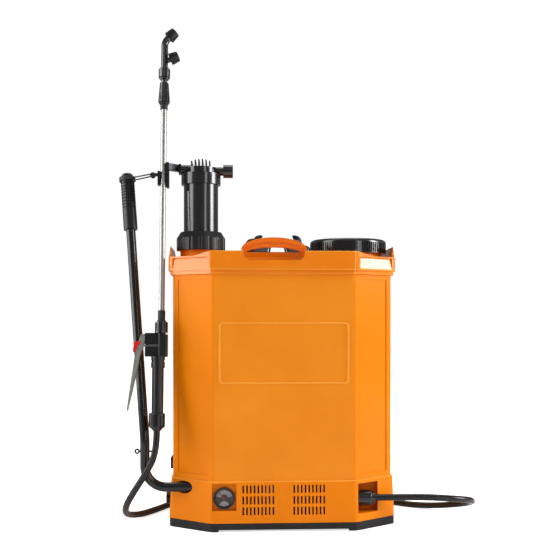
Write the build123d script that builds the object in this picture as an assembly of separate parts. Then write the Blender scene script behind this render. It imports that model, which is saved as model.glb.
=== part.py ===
from build123d import *
import math
import os

# Knapsack sprayer in millimetres. X runs across to the filler lid, Y from the front panel
# to the back plate that the operator wears, Z up. The origin is the centre of the tank's
# footprint on the floor.

# ---------------------------------------------------------------- tank and rim
tank_width = 373.0
tank_depth = 215.0
front_cut_x = 68.5          # width of each front corner facet, across X
front_cut_y = 48.0          # depth of each front corner facet, along Y
back_cut = 34.0             # both legs of each back corner facet
corner_radius = 9.0
tank_wall = 3.0
tank_bottom = 83.0
tank_top = 447.5
half_w = tank_width / 2
front = -tank_depth / 2
back = tank_depth / 2
rim_step = tank_top - 15.5  # ledge between the rim's lower bead and its wall
rim_bottom = tank_top - 22.0
rim_top = tank_top + 15.5
rim_side_top = tank_top + 8.0
rim_grow = 7.7              # how far the rim stands proud of the tank
bead_grow = 4.5
panel_lean = math.radians(9)  # backward lean of the rim's corner panels
rim_lip = 2.0
crest_half = 62.0           # raised middle of the rim's back wall
crest_top = tank_top + 29.5
guard_half = 75.0           # guard wall in front of the strap bar
guard_y = back - 33.5
guard_top = tank_top + 26.5
panel_sink = 1.4            # depth of the sunk panels on the front facets
ear_height = 19.5
well_top = 120.0            # top of the raised well over the crank
handle_x = -16.5
handle_depth = 22.0
handle_y = front + 15.5
handle_half = 54.3
handle_side = 4.8           # thickness of the handle's two legs
handle_arches = ((0, tank_top + 19.0, tank_top + 38.5), (2.0, tank_top + 15.5, tank_top + 31.0),
                 (4.8, tank_top + 11.0, tank_top + 23.0))
handle_screw_reach = 62.0
label_proud = 1.1
label_z = (tank_bottom + 160.0, tank_bottom + 262.5)
seat = 0.2                  # clearance between seated plastic parts
running = 0.3               # clearance between parts that move

# ---------------------------------------------------------------- base
foot_height = 3.5
middle_foot = 14.0          # radius of the round foot under the middle of the base
plate_top = 14.4
plate_floor = 3.0
skirt_grow_top = 2.8
ledge_bevel = 1.7           # sloping edge round the top of the skirt
skirt_grow_bottom = 6.0
base_wall = 3.0
foot_span = half_w - 78.5   # half width of the arch between the front feet
slot_columns = 9
slot_pitch = 6.2
slot_width = 2.7
slot_height = 13.0
vent_centres = (-42.9, 41.3)
vent_rows = (34.1, 51.8, 69.8)
gauge_x = 87.5 - half_w
gauge_z = 55.0
gauge_radius = 17.5
gauge_pocket_half = 20.0
gauge_pocket_z = (35.0, 79.0)
pocket_depth = 3.0
outlet_y = front + 20.5
outlet_z = 49.6
outlet_pocket_x = (half_w - 63.5, half_w - 27.0)
outlet_pocket_y = front + 41.5
outlet_pocket_z = (27.0, 77.0)
fitting_radius = 8.0
hose_nut_length = 31.0
knob_y = front + 65.5
knob_z = 44.0
screw_places = [(side * (half_w - inset), y) for side in (-1, 1)
                for inset, y in ((36.5, back - 22.5), (98.5, front + 35.5))]
battery_size = (151.0, 94.0, 65.0)
motor_x = half_w - 68.5
motor_y = front + 89.5
battery_corner = (motor_x - 59.5 - battery_size[0], back - 113.5, foot_height + plate_floor)

# ---------------------------------------------------------------- pump
pump_x = 45.8 - half_w
pump_y = -11.0
barrel_radius = 30.0
barrel_wall = 3.0
neck_radius = barrel_radius + 6.0
neck_top = tank_top + 33.2
flange_top = neck_top + 6.0
nut_radius = neck_radius + 6.5
nut_bottom = neck_top - 11.0
nut_top = flange_top + 15.0
nut_teeth = 16
chamber_top = flange_top + 104.0
cap_radius = barrel_radius + 4.3
cap_bottom = chamber_top - 6.0
cap_top = chamber_top + 13.0
head_top = cap_top + 11.0
crown_top = head_top + 13.0
fin_count = 6
fin_pitch = 6.2
port_z = cap_top + 5.5
port_reach = barrel_radius + 14.0
boss_reach = cap_radius + 0.2

# ---------------------------------------------------------------- filler
filler_x = half_w - 67.5
filler_y = -5.0
filler_radius = 59.0
filler_wall = 5.0
filler_top = tank_top + 33.0
lid_radius = filler_radius + 8.0
lid_bottom = filler_top - 16.0
lid_top = filler_top + 8.6
basket_depth = 82.0
lid_ribs = 90

# ---------------------------------------------------------------- lever drive
shaft_y = front + 30.5
shaft_z = 68.6
lever_radius = 8.0
lever_wall = 1.5
lever_x = -half_w - 45.5
lever_bend = 36.0
lever_joint_z = 115.0
pin_z = 129.0
shaft_end = pump_x + 42.5
bracket_x = (pump_x + 3.5, pump_x + 38.5)
lever_kink_z = 146.0
lever_lean = (-38.5, 77.0, 455.0)
lever_length = 468.0        # from the kink to the end of the grip
grip_length = 102.0
grip_radius = 12.0
crank_length = 70.0
crank_rest = 27.5           # degrees above level at rest
lever_swing = 55.0
crank_thick = 8.0
roller_radius = 6.0
yoke_play = 1.3
rod_radius = 5.0
piston_rest = 232.0
band_z = cap_top - 4.5
clip_z = cap_top - 7.0       # height of the lance clip's jaws
hook_reach = 13.0

# ---------------------------------------------------------------- lance
lance_x = -half_w - 18.2
lance_y = front + 31.5
lance_z = 318.0
lance_lean = 8.25
lance_radius = 5.0
lance_reach = 430.0
handle_offset = -5.0
handle_radius = 9.75
trigger_pivot = (-30.5, 2.5)
trigger_swing = 10.0
spindle_z = -12.8
spindle_radius = 1.6
lock_pivot = (-35.0, -9.0)
cap_bend_z = 526.0
crown_reach = 7.5
branch_z = 490.0
branch_rise = math.radians(24)

# ---------------------------------------------------------------- hose
hose_radius = 5.5
hose_points = [
    (154.0, -87.0, 49.6), (196.0, -87.0, 49.6), (246.0, -86.0, 49.0), (291.0, -87.0, 46.0),
    (324.0, -64.0, 39.0), (338.0, -26.0, 28.0), (327.5, 13.0, 16.0), (288.0, 42.0, 7.5),
    (248.0, 60.0, 5.6), (213.0, 90.0, 5.6), (180.0, 124.0, 5.6), (124.0, 134.5, 5.6),
    (42.0, 130.0, 5.6), (-45.0, 133.0, 5.6), (-128.0, 131.0, 5.6), (-172.0, 122.0, 5.6),
    (-202.0, 90.0, 5.6), (-222.0, 46.0, 5.6), (-249.0, 2.0, 5.6), (-268.0, -36.0, 14.0),
    (-266.0, -68.0, 34.0), (-250.0, -88.0, 62.0), (-229.0, -98.0, 94.0), (-210.4, -103.3, 130.0),
    (-210.4, -98.1, 165.6),
]

# ---------------------------------------------------------------- straps
pad_width = 48.0
pad_thick = 9.0
pad_tilt = 13.0
pad_top = tank_top + 62.0
pad_bottom = tank_bottom + 122.0
pad_gap = 4.0               # from the rim's back face to the pad
hook_y = 30.0
hook_z = tank_bottom - 3.0
web_width = 25.0
web_thick = 2.0


# ---------------------------------------------------------------- helpers
def block(x0, x1, y0, y1, z0, z1):
    return Pos((x0 + x1) / 2, (y0 + y1) / 2, (z0 + z1) / 2) * Box(x1 - x0, y1 - y0, z1 - z0)


def post(radius, z0, z1, x=0.0, y=0.0):
    return Pos(x, y, (z0 + z1) / 2) * Cylinder(radius, z1 - z0)


def ring(outer, inner, z0, z1, x=0.0, y=0.0):
    return post(outer, z0, z1, x, y) - post(inner, z0 - 1, z1 + 1, x, y)


def rod_x(radius, x0, x1, y, z):
    return Pos((x0 + x1) / 2, y, z) * Rot(0, 90, 0) * Cylinder(radius, abs(x1 - x0))


def rod_y(radius, y0, y1, x, z):
    return Pos(x, (y0 + y1) / 2, z) * Rot(90, 0, 0) * Cylinder(radius, y1 - y0)


def outline(grow):
    # Plan shape of the tank: two front corner facets and two smaller back ones.
    points = [
        (-half_w + front_cut_x, front), (half_w - front_cut_x, front),
        (half_w, front + front_cut_y), (half_w, back - back_cut),
        (half_w - back_cut, back), (-half_w + back_cut, back),
        (-half_w, back - back_cut), (-half_w, front + front_cut_y),
    ]
    plan = Polygon(*points, align=None)
    plan = fillet(plan.vertices(), corner_radius)
    return offset(plan, amount=grow) if grow else plan


def slab(grow, z0, z1):
    return extrude(Pos(0, 0, z0) * outline(grow), amount=z1 - z0)


def plate_xz(points, y0, y1):
    # A profile drawn in X and Z, carried along Y from y0 to y1.
    return Pos(0, y0, 0) * extrude(Plane.XZ * Polygon(*points, align=None), amount=y1 - y0, dir=(0, 1, 0))


def plate_yz(points, x0, x1):
    # A profile drawn in Y and Z, carried along X from x0 to x1.
    return Pos(x0, 0, 0) * extrude(Plane.YZ * Polygon(*points, align=None), amount=x1 - x0, dir=(1, 0, 0))


def tube_along(path, radius):
    start = Plane(origin=path @ 0, z_dir=path % 0)
    return sweep(start * Circle(radius), path=path)


def solids_of(shape):
    return list(shape.solids())


def group(shapes):
    return Compound(children=[s for shape in shapes for s in solids_of(shape)])


def chamfer_x(y, grow=0.0):
    # Distance from the middle to the outside of a front facet at a given Y.
    run = (y - front) / front_cut_y
    slope = math.hypot(front_cut_x, front_cut_y)
    return half_w - front_cut_x + front_cut_x * run + grow * slope / front_cut_y


# ---------------------------------------------------------------- tank
def make_tank():
    shell = slab(0, tank_bottom, tank_top) - slab(-tank_wall, tank_bottom + tank_wall, tank_top - tank_wall)
    well_x = (pump_x - 25.5, pump_x + 25.5)
    well_y = (shaft_y + 5.0, shaft_y + crank_length + 29.0)
    shell += block(*well_x, *well_y, tank_bottom, well_top)
    shell -= block(well_x[0] + tank_wall, well_x[1] - tank_wall, well_y[0] + tank_wall,
                   well_y[1] - tank_wall, tank_bottom - 1, well_top - tank_wall)
    shell -= post(rod_radius + running, tank_bottom, well_top + 1, pump_x, pump_y)
    for radius, wall, x, y, top in (
        (filler_radius, filler_wall, filler_x, filler_y, filler_top),
        (neck_radius, neck_radius - barrel_radius - running, pump_x, pump_y, neck_top),
    ):
        shell += post(radius, tank_top - tank_wall, top, x, y)
        shell -= post(radius - wall, tank_top - tank_wall - 1, top + 1, x, y)
    # sunk panels on the front facets and the raised frame of the bare label field
    for side in (-1, 1):
        angle = side * math.degrees(math.atan2(front_cut_y, front_cut_x))
        middle = (side * (half_w - front_cut_x / 2), front + front_cut_y / 2)
        panel = (Pos(*middle, 0) * Rot(0, 0, angle)
                 * block(-31, 31, -20, 20, tank_bottom + 9, rim_bottom - 8.5))
        shell -= panel - slab(-panel_sink, 0, tank_top)
    field = half_w - front_cut_x - 9.7
    low, high = label_z
    frames = []
    for inset in (0, 3.2):
        x, z0, z1 = field - inset, low + inset, high - inset
        frames.append(Pos(0, front - label_proud, (z0 + z1) / 2) * extrude(
            Plane.XZ * RectangleRounded(2 * x, z1 - z0, 7.5 - inset), amount=label_proud + 1, dir=(0, 1, 0)))
    frame = frames[0] - frames[1]
    frame = chamfer(frame.edges().group_by(Axis.Y)[0], 0.8)
    shell += frame & block(-half_w, half_w, front - 5, front, low, high)
    return shell


def make_rim():
    bead = slab(bead_grow, rim_bottom, rim_step) - slab(seat, rim_bottom - 1, rim_step)
    wall = slab(rim_grow, rim_step, rim_top) - slab(seat, rim_step - 1, tank_top)
    rim = bead + wall - slab(-rim_lip, tank_top - 1, rim_top + 1)
    reach = half_w + rim_grow + 20
    for side in (-1, 1):
        flat = half_w - front_cut_x + 2
        slope = [(side * flat, rim_top + 1), (side * flat, rim_top), (side * (flat + 30), rim_side_top),
                 (side * reach, rim_side_top), (side * reach, rim_top + 1)]
        rim -= plate_xz(slope, front - 20, back + 20)
        ear_x = half_w + rim_grow
        ear = [(side * ear_x, rim_side_top - 6), (side * (ear_x - 3), rim_side_top + ear_height),
               (side * (ear_x - 7), rim_side_top - 6)]
        rim += plate_xz(ear, front + front_cut_y + 6, back - back_cut - 6)
    for side in (-1, 1):
        angle = side * math.degrees(math.atan2(front_cut_y, front_cut_x))
        middle = (side * (half_w - front_cut_x / 2), front + front_cut_y / 2)
        length = math.hypot(front_cut_x, front_cut_y) / 2 - 5
        z0, z1 = rim_step + 2.5, rim_side_top - 2.5
        lean = [(-rim_grow - 9, z0), (-rim_grow + 0.5, z0), (-rim_grow + 0.5 + (z1 - z0) * math.tan(panel_lean), z1),
                (-rim_grow - 9, z1)]
        rim -= Pos(*middle, 0) * Rot(0, 0, angle) * plate_yz(lean, -length, length)
    notch = rod_y(3.2, front - 20, front - bead_grow, handle_x + 20, rim_step)
    rim -= notch & block(-half_w, half_w, front - 20, front, rim_step - 4, rim_step)
    reach = handle_half - 4
    mouth = [(handle_x + dx, z) for dx, z in (
        (-reach, rim_top + 1), (-reach, tank_top + 7), (-reach + 7, tank_top + seat),
        (reach - 7, tank_top + seat), (reach, tank_top + 7), (reach, rim_top + 1))]
    crest = [(dx, z) for dx, z in (
        (-crest_half - 12, rim_top - 2), (-crest_half, crest_top), (crest_half, crest_top),
        (crest_half + 12, rim_top - 2))]
    rim += plate_xz(crest, back - rim_lip, back + rim_grow - 3)
    # guard wall in front of the strap bar
    guard = block(-guard_half, guard_half, guard_y, back, tank_top + seat, guard_top)
    rim += guard - block(-guard_half + 2.5, guard_half - 2.5, guard_y + 2.5, back + 1, tank_top, guard_top + 1)
    return rim - plate_xz(mouth, front - 20, front + 30)


def handle_arch(inset, spring, peak):
    half = handle_half - inset
    flat = Pos(0, -60) * Rectangle(2 * half, 120)
    return Pos(handle_x, spring) * (Ellipse(half, peak - spring) + flat)


def make_carry_handle():
    # A crescent with its lower half stepped back from the front face.
    outer, step, inner = (handle_arch(*arch) for arch in handle_arches)
    y0, y1 = handle_y - handle_depth / 2, handle_y + handle_depth / 2
    bar = Pos(0, y0, 0) * extrude(Plane.XZ * (outer - inner), amount=handle_depth, dir=(0, 1, 0))
    bar -= Pos(0, y0 - 1, 0) * extrude(Plane.XZ * step, amount=3.5, dir=(0, 1, 0))
    bar &= block(-half_w, half_w, front, back, tank_top, handle_arches[0][2] + 1)
    for side in (-1, 1):
        near = handle_x + side * (handle_half - handle_side)
        far = handle_x + side * (handle_screw_reach + 8)
        bar += block(min(near, far), max(near, far), y0 + 3, y1, tank_top, tank_top + 4)
        bar -= post(2.3, tank_top - 1, tank_top + 5, handle_x + side * handle_screw_reach, handle_y)
    return bar


def make_handle_screws():
    return group([post(4, tank_top + 4, tank_top + 7, x, handle_y) + post(2, tank_top, tank_top + 4, x, handle_y)
                  for x in (handle_x - handle_screw_reach, handle_x + handle_screw_reach)])


def make_strainer():
    top = filler_top
    floor = top - basket_depth
    basket = post(filler_radius - filler_wall - 1, floor, top, filler_x, filler_y)
    basket += post(filler_radius - 0.5, top, top + 2, filler_x, filler_y)
    basket -= post(filler_radius - filler_wall - 2.6, floor + 1.6, top + 3, filler_x, filler_y)
    slots = [Pos(filler_x, filler_y, z) * Rot(0, 0, turn * 15) * Box(150, 5, 14)
             for z in (floor + 18, floor + 38, floor + 58) for turn in range(12)]
    return basket - Compound(children=slots)


def make_lid_gasket():
    return ring(filler_radius - 1, filler_radius - 7, filler_top + 2, lid_top - 4, filler_x, filler_y)


def make_lid():
    cap = post(lid_radius, lid_bottom, lid_top, filler_x, filler_y)
    cap = fillet(cap.edges().group_by(Axis.Z)[-1], 6)
    cap -= post(filler_radius + running, lid_bottom - 1, lid_top - 4 + seat, filler_x, filler_y)
    grooves = [Pos(filler_x, filler_y, 0) * Rot(0, 0, turn * 360 / lid_ribs)
               * block(lid_radius - 1.5, lid_radius + 2, -1.15, 1.15, lid_bottom + 1.5, lid_top - 6)
               for turn in range(lid_ribs)]
    return cap - Compound(children=grooves)


# ---------------------------------------------------------------- hand pump
def make_barrel():
    tube = ring(barrel_radius, barrel_radius - barrel_wall, well_top, flange_top, pump_x, pump_y)
    tube += post(barrel_radius - 1, well_top, well_top + 5, pump_x, pump_y)
    tube += ring(neck_radius, barrel_radius - barrel_wall, flange_top - 4, flange_top, pump_x, pump_y)
    tube -= post(rod_radius + running, well_top - 1, well_top + 6, pump_x, pump_y)
    ports = [Pos(pump_x, pump_y, well_top + 14) * Rot(0, 0, turn * 60) * Box(80, 6, 8) for turn in range(3)]
    return tube - Compound(children=ports)


def make_barrel_gasket():
    return ring(neck_radius, barrel_radius + running, neck_top, flange_top - 4, pump_x, pump_y)


def make_pump_nut():
    nut = post(nut_radius, nut_bottom, nut_top, pump_x, pump_y)
    nut = chamfer(nut.edges().group_by(Axis.Z)[-1], 11, 7)
    nut -= post(neck_radius + running, nut_bottom - 1, flange_top + seat, pump_x, pump_y)
    nut -= post(barrel_radius + running, flange_top, nut_top + 1, pump_x, pump_y)
    flutes = [Pos(pump_x, pump_y, 0) * Rot(0, 0, turn * 360 / nut_teeth)
              * post(5.5, nut_bottom - 1, nut_top + 1, nut_radius + 4.3, 0) for turn in range(nut_teeth)]
    return nut - Compound(children=flutes)


def make_chamber():
    return ring(barrel_radius, barrel_radius - 3, flange_top, chamber_top, pump_x, pump_y)


def make_chamber_seal():
    return ring(barrel_radius, barrel_radius - 4, chamber_top, chamber_top + 2, pump_x, pump_y)


def make_cap():
    cap = post(cap_radius, cap_bottom, cap_top, pump_x, pump_y)
    cap -= post(barrel_radius + running, cap_bottom - 1, chamber_top + 2, pump_x, pump_y)
    cap -= post(barrel_radius - 6, chamber_top, cap_top - 5, pump_x, pump_y)
    cap += post(barrel_radius - 2.5, cap_top, head_top, pump_x, pump_y)
    for index in range(fin_count):
        offset_x = (index - (fin_count - 1) / 2) * fin_pitch
        peak = crown_top - offset_x ** 2 * 0.014
        cap += block(pump_x + offset_x - 1.1, pump_x + offset_x + 1.1, pump_y - 21, pump_y + 21,
                     head_top - 0.5, peak)
    cap += rod_x(7.5, pump_x + 15, pump_x + port_reach, pump_y, port_z)
    cap += rod_x(9, pump_x - boss_reach, pump_x - 15, pump_y, port_z + 2)
    cap -= rod_x(4, pump_x, pump_x + port_reach + 1, pump_y, port_z)
    return cap


def make_port_nut():
    end = pump_x + port_reach
    nut = rod_x(11.5, end - 5, end + 12, pump_y, port_z)
    nut -= rod_x(7.5 + seat, end - 6, end + seat, pump_y, port_z)
    teeth = [Pos(end + 3.5, pump_y, port_z) * Rot(turn * 30, 0, 0) * Pos(0, 0, 12.6) * Box(20, 3, 2.6)
             for turn in range(12)]
    return nut - Compound(children=teeth)


def lance_centre_y(z):
    return lance_y + math.tan(math.radians(lance_lean)) * (z - lance_z)


def make_clip():
    left, right = lance_x - lance_radius - running, lance_x + lance_radius + running
    y = lance_centre_y(clip_z)
    arm_start = pump_x - boss_reach
    arm = block(arm_start - 4, arm_start, pump_y - 9, pump_y + 9, cap_top, cap_top + 17)
    arm += extrude(Pos(0, 0, cap_top + 4) * Polygon(
        (arm_start - 2, pump_y + 6), (arm_start - 2, pump_y - 5), (right, y - 4), (right, y + 10), align=None), amount=12, dir=(0, 0, 1))
    back_face = y + lance_radius + 3.0
    arm += block(right, right + 4.6, y - 7, back_face + 3.4, clip_z - 20, cap_top + 16)
    arm += block(left - 4, right + 4.6, back_face, back_face + 3.4, clip_z - 16, clip_z + 8)
    arm += block(left - 4, left, y - 7, back_face + 3.4, clip_z - 16, clip_z + 8)
    hook_x = left - hook_reach
    arm += rod_x(3, hook_x, left - 2, y + 2, band_z)
    arm += rod_y(3, y + 2, y + 14, hook_x, band_z)
    return arm


# ---------------------------------------------------------------- base
def skirt_grow(z):
    # How far the flared skirt stands outside the tank at a given height.
    share = (tank_bottom - z) / (tank_bottom - plate_top)
    return skirt_grow_top + (skirt_grow_bottom - skirt_grow_top) * share


def skirt(inset, z0, z1):
    return loft([Pos(0, 0, z) * outline(skirt_grow(z) - inset) for z in (z0, z1)], ruled=True)


def make_housing():
    solid = skirt(0, plate_top, tank_bottom - ledge_bevel)
    solid += loft([Pos(0, 0, z) * outline(grow) for z, grow in (
        (tank_bottom - ledge_bevel, skirt_grow(tank_bottom - ledge_bevel)),
        (tank_bottom, skirt_grow_top - ledge_bevel))], ruled=True)
    shell = solid - skirt(base_wall, plate_top - 0.01, tank_bottom - base_wall)
    # deck opening for the crank
    shell -= block(pump_x - 22.5, pump_x + 22.5, shaft_y + 3, shaft_y + crank_length + 26, tank_bottom - 10, tank_bottom + 1)
    # gauge pocket
    half = gauge_pocket_half
    face = front - 6
    outer = block(gauge_x - half - 3, gauge_x + half + 3, face, front + pocket_depth + 3,
                  gauge_pocket_z[0] - 3, tank_bottom)
    shell += outer & solid
    shell -= block(gauge_x - half, gauge_x + half, face - 4, front + pocket_depth, *gauge_pocket_z)
    shell -= rod_y(3, front, front + 20, gauge_x, gauge_z)
    # outlet pocket
    x0, x1 = outlet_pocket_x
    z0, z1 = outlet_pocket_z
    outer = block(x0 - 3, x1 + 3, front - 10, outlet_pocket_y + 3, z0 - 3, tank_bottom)
    shell += outer & solid
    shell -= block(x0, x1, front - 12, outlet_pocket_y, z0, z1)
    shell -= rod_x(hose_radius + 1.5, x1 - 1, x1 + 16, outlet_y, outlet_z)
    shell -= rod_x(fitting_radius + seat, x0 - 10, x0 + 1, outlet_y, outlet_z)
    # lever entry and knob spindle
    shell -= rod_x(lever_radius + 2.5, -half_w, -chamfer_x(shaft_y) + 25, shaft_y, shaft_z)
    shell -= rod_x(3.3, -half_w - 10, -half_w + 20, knob_y, knob_z)
    shell -= rod_x(5.2, x0 - 10, x0 - 3 + 0.1, outlet_y, outlet_z)
    shell -= post(5.2, tank_bottom - 10, tank_bottom + 1, motor_x + 50, motor_y + 40)
    slots = []
    for centre in vent_centres:
        for row in vent_rows:
            for column in range(slot_columns):
                x = centre + (column - (slot_columns - 1) / 2) * slot_pitch
                slots.append(block(x - slot_width / 2, x + slot_width / 2, front - 10, front + 10,
                                   row - slot_height / 2, row + slot_height / 2))
    shell -= Compound(children=slots)
    for x, y in screw_places:
        shell += post(6, plate_top, tank_bottom - 1, x, y)
        shell -= post(2, plate_top - 1, plate_top + 16, x, y)
    return shell


def make_base_plate():
    plate = slab(skirt_grow_bottom - 0.5, foot_height, plate_top)
    plate -= slab(skirt_grow_bottom - 7, foot_height + plate_floor, plate_top + 1)
    for x, y in screw_places:
        plate += post(6, foot_height, plate_top, x, y)
        plate -= post(2.3, foot_height - 1, plate_top + 1, x, y)
        plate -= post(4.5, foot_height - 1, foot_height + 4, x, y)
    return plate


def make_feet():
    feet = slab(skirt_grow_bottom - 0.5, 0, foot_height)
    feet -= block(-foot_span, foot_span, front - 20, back + 20, -1, foot_height + 1)
    feet -= block(-half_w - 20, half_w + 20, -28, 28, -1, foot_height + 1)
    feet -= slab(-24, -1, foot_height + 1)
    for x, y in screw_places:
        feet -= post(5.5, -1, foot_height + 1, x, y)
    return feet + post(middle_foot, 0, foot_height)


def make_housing_screws():
    return group([post(4.2, foot_height + 0.4, foot_height + 4, x, y)
                  + post(1.95, foot_height + 4, plate_top + 14, x, y) for x, y in screw_places])


def make_battery():
    x, y, z = battery_corner
    cell = block(x, x + battery_size[0], y, y + battery_size[1], z, z + battery_size[2])
    for tab in (14, 30):
        cell += block(x + battery_size[0], x + battery_size[0] + 6, y + tab, y + tab + 6, z + 40, z + 41)
    return cell


def make_battery_strap():
    x, y, z = battery_corner
    middle, top = x + battery_size[0] / 2, z + battery_size[2]
    strap = block(middle - 10, middle + 10, y - 3, y + battery_size[1] + 3, z, top + 2)
    strap -= block(middle - 12, middle + 12, y - seat, y + battery_size[1] + seat, z - 1, top)
    for edge in (y - 16, y + battery_size[1] + seat):
        strap += block(middle - 10, middle + 10, edge, edge + 16 - seat, z, z + 2)
    return strap


def make_motor():
    z = foot_height + plate_floor
    body = rod_y(19, motor_y, motor_y + 62, motor_x, z + 25)
    body += block(motor_x - 20, motor_x + 20, motor_y + 8, motor_y + 54, z, z + 20)
    return body


def make_diaphragm():
    z = foot_height + plate_floor
    head = block(motor_x - 27, motor_x + 27, motor_y - 42, motor_y, z, z + 56)
    head = fillet(head.edges().filter_by(Axis.Y), 8)
    for side in (-1, 1):
        head += rod_x(6, motor_x + side * 27, motor_x + side * 36, motor_y - 18, z + 40)
    return head


def bend_tube(points, radius, bore, corner):
    path = FilletPolyline(*points, radius=corner)
    return tube_along(path, radius) - tube_along(path, bore)


def make_suction():
    z = foot_height + plate_floor + 40
    x = motor_x + 36
    return bend_tube([(x, motor_y - 18, z), (x + 14, motor_y - 18, z), (x + 14, motor_y + 40, z),
                      (x + 14, motor_y + 40, tank_bottom)], 5, 3, 9)


def make_delivery():
    z = foot_height + plate_floor + 40
    x = motor_x - 36
    mouth_x = outlet_pocket_x[0] - 14
    return bend_tube([(x, motor_y - 18, z), (x - 12, motor_y - 18, z), (x - 12, outlet_y, outlet_z),
                      (mouth_x, outlet_y, outlet_z)], 5, 3, 10)


def make_outlet_fitting():
    x = outlet_pocket_x[0]
    fitting = rod_x(fitting_radius, x - 14, x + 16, outlet_y, outlet_z)
    fitting += rod_x(fitting_radius + 5, x - 9, x - 3, outlet_y, outlet_z)
    fitting -= rod_x(3.5, x - 15, x + 17, outlet_y, outlet_z)
    return fitting


def make_hose_nut():
    x = outlet_pocket_x[0]
    nut = rod_x(13.2, x + 2, x + hose_nut_length - 6, outlet_y, outlet_z)
    nut = fillet(nut.edges().group_by(Axis.X)[-1], 2.0)
    nut += rod_x(9.6, x + 10, x + hose_nut_length, outlet_y, outlet_z)
    nut -= rod_x(fitting_radius + seat, x + 1, x + 16 + seat, outlet_y, outlet_z)
    grooves = [Pos(x + 12, outlet_y, outlet_z) * Rot(turn * 30, 0, 0) * Pos(0, 0, 13.4) * Box(17, 2.4, 2.6)
               for turn in range(12)]
    return nut - Compound(children=grooves)


def make_gauge_bezel():
    y = front + pocket_depth
    bezel = rod_y(gauge_radius, y - 7, y, gauge_x, gauge_z) - rod_y(gauge_radius - 2.2, y - 8, y - 1.5, gauge_x, gauge_z)
    return bezel - rod_y(3, y - 3, y + 1, gauge_x, gauge_z)


def make_gauge_dial():
    y = front + pocket_depth - 1.5
    return rod_y(gauge_radius - 2.4, y - 1, y, gauge_x, gauge_z) - rod_y(1.3, y - 2, y + 1, gauge_x, gauge_z)


def make_gauge_needle():
    y = front + pocket_depth - 1.5
    hub = rod_y(1.0, y - 3, y + 1, gauge_x, gauge_z)
    hub += rod_y(2.4, y - 3, y - 1.6, gauge_x, gauge_z)
    hand = Pos(gauge_x, y - 2.3, gauge_z) * Rot(0, -45, 0) * block(-0.7, 0.7, -0.5, 0.5, 0, gauge_radius - 5)
    return hub + hand


def make_gauge_lens():
    y = front + pocket_depth - 7
    return rod_y(gauge_radius - 2.4, y + 0.4, y + 1.8, gauge_x, gauge_z)


def make_knob():
    surface = half_w + skirt_grow(knob_z - 10) + running
    knob = rod_x(10, -surface - 6.5, -surface, knob_y, knob_z) + rod_x(3, -surface - 1, -half_w + 8, knob_y, knob_z)
    grips = [Pos(-surface - 5, knob_y, knob_z) * Rot(turn * 30, 0, 0) * Pos(0, 0, 10.6) * Box(8, 2, 2.4)
             for turn in range(12)]
    return knob - Compound(children=grips)


# ---------------------------------------------------------------- lever drive
def make_lever_arm():
    path = FilletPolyline((shaft_end, shaft_y, shaft_z), (lever_x, shaft_y, shaft_z),
                          (lever_x, shaft_y, lever_joint_z), radius=lever_bend)
    arm = tube_along(path, lever_radius)
    arm += post(lever_radius - lever_wall - 0.05, lever_joint_z, lever_kink_z - 8, lever_x, shaft_y)
    return arm - rod_x(1.7, lever_x - 12, lever_x + 12, shaft_y, pin_z)


def lever_tip():
    length = math.sqrt(sum(v * v for v in lever_lean))
    return [v / length for v in lever_lean]


def grip_location():
    way = Vector(*lever_tip())
    foot = Vector(lever_x, shaft_y, lever_kink_z) + way * (lever_length - grip_length)
    return Plane(origin=foot, x_dir=(1, 0, 0), z_dir=way).location


def make_lever_tube():
    way = Vector(*lever_tip())
    top = Vector(lever_x, shaft_y, lever_kink_z) + way * (lever_length - 6)
    path = FilletPolyline((lever_x, shaft_y, lever_joint_z), (lever_x, shaft_y, lever_kink_z),
                          tuple(top), radius=60)
    tube = tube_along(path, lever_radius) - tube_along(path, lever_radius - lever_wall)
    return tube - rod_x(1.7, lever_x - 12, lever_x + 12, shaft_y, pin_z)


def make_grip():
    grip = post(grip_radius - 1.5, 0, grip_length)
    grip = fillet(grip.edges().group_by(Axis.Z)[-1], 6)
    grip += [post(grip_radius, z, z + 3.2) for z in [grip_length * 0.39 + n * 5.5 for n in range(10)]]
    grip += post(grip_radius, 0, grip_length * 0.37)
    grip -= post(lever_radius + 0.02, -1, grip_length - 6 + 0.1)
    return grip_location() * grip


def make_lever_pin():
    wire = 1.5
    loop_x = lever_x - lever_radius - 4.9
    pin = rod_x(wire, loop_x + 2.4, lever_x + 13, shaft_y, pin_z)
    pin += Pos(loop_x, shaft_y, pin_z) * Rot(90, 0, 0) * Torus(3.2, wire)
    return pin


def make_bracket():
    z0 = foot_height + plate_floor
    bracket = block(*bracket_x, shaft_y - 11, shaft_y + 12, z0, z0 + 3)
    for x in (bracket_x[0], bracket_x[1] - 6):
        bracket += block(x, x + 6, shaft_y - 11, shaft_y + 12, z0, shaft_z + 11)
        bracket -= rod_x(10, x - 1, x + 7, shaft_y, shaft_z)
    return bracket


def make_bushes():
    bushes = []
    for x in (bracket_x[0], bracket_x[1] - 6):
        bushes.append(rod_x(10, x, x + 6, shaft_y, shaft_z) - rod_x(lever_radius + 0.05, x - 1, x + 7, shaft_y, shaft_z))
    return group(bushes)


def make_crank():
    # Drawn level, with the arm towards +Y, then raised to its rest angle about the shaft.
    x0 = pump_x + 12
    arm = rod_x(11, x0, x0 + crank_thick, 0, 0)
    arm += block(x0, x0 + crank_thick, 0, crank_length, -7, 7)
    arm += rod_x(7, x0, x0 + crank_thick, crank_length, 0)
    arm += rod_x(roller_radius, pump_x - 12, x0, crank_length, 0)
    arm -= rod_x(lever_radius + 0.02, x0 - 1, x0 + crank_thick + 1, 0, 0)
    return Pos(0, shaft_y, shaft_z) * Rot(crank_rest, 0, 0) * arm


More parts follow.
